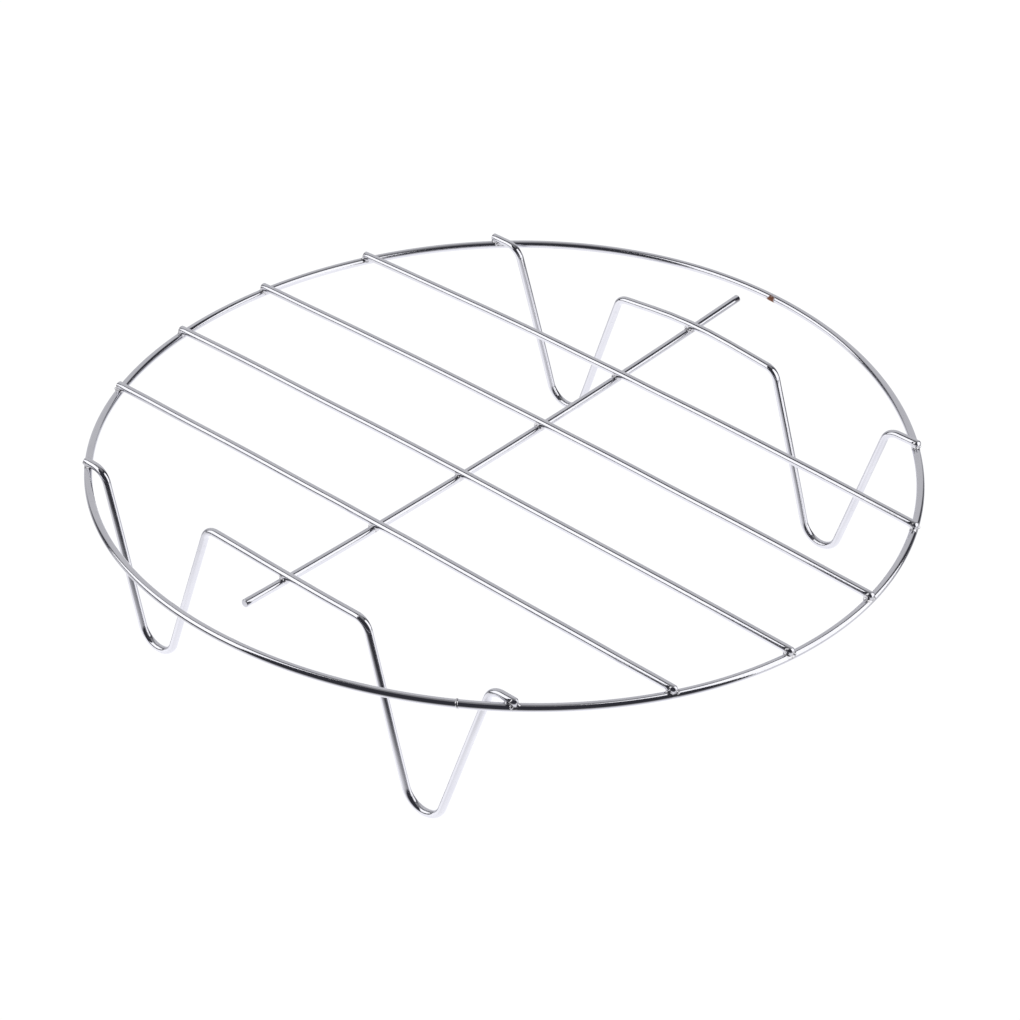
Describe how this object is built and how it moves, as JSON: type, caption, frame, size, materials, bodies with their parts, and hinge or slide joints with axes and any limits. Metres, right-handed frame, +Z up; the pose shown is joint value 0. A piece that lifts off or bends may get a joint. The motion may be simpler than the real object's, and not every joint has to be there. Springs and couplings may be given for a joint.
{
  "type": "cooling rack",
  "caption": "Round chrome-plated wire rack for cooling or steaming, with parallel wires on a rim and bent wire feet.",
  "frame": {"origin": "on the surface the rack stands on, under the centre of the rim", "axes": "+X along the grid wires, +Y along the cross bar, +Z up"},
  "size_m": [0.24, 0.24, 0.0571],
  "materials": {
    "chromed_wire": "bright nickel-chrome plating on drawn steel wire",
    "weld_metal": "plated resistance-weld metal, duller than the wire"
  },
  "bodies": {
    "root": {"rim_hoop": "chromed_wire", "rim_butt_weld": "weld_metal", "cross_bar": "chromed_wire", "grid_wire_1": "chromed_wire", "grid_wire_2": "chromed_wire", "grid_wire_3": "chromed_wire", "grid_wire_4": "chromed_wire", "leg_wire_front": "chromed_wire", "leg_wire_back": "chromed_wire", "weld_grid_wire_1_left": "weld_metal", "weld_grid_wire_1_bar": "weld_metal", "weld_grid_wire_1_right": "weld_metal", "weld_grid_wire_2_left": "weld_metal", "weld_grid_wire_2_bar": "weld_metal", "weld_grid_wire_2_right": "weld_metal", "weld_grid_wire_3_left": "weld_metal", "weld_grid_wire_3_bar": "weld_metal", "weld_grid_wire_3_right": "weld_metal", "weld_grid_wire_4_left": "weld_metal", "weld_grid_wire_4_bar": "weld_metal", "weld_grid_wire_4_right": "weld_metal", "weld_leg_wire_front_left": "weld_metal", "weld_leg_wire_front_bar": "weld_metal", "weld_leg_wire_front_right": "weld_metal", "weld_leg_wire_back_left": "weld_metal", "weld_leg_wire_back_bar": "weld_metal", "weld_leg_wire_back_right": "weld_metal"}
  },
  "joints": []
}
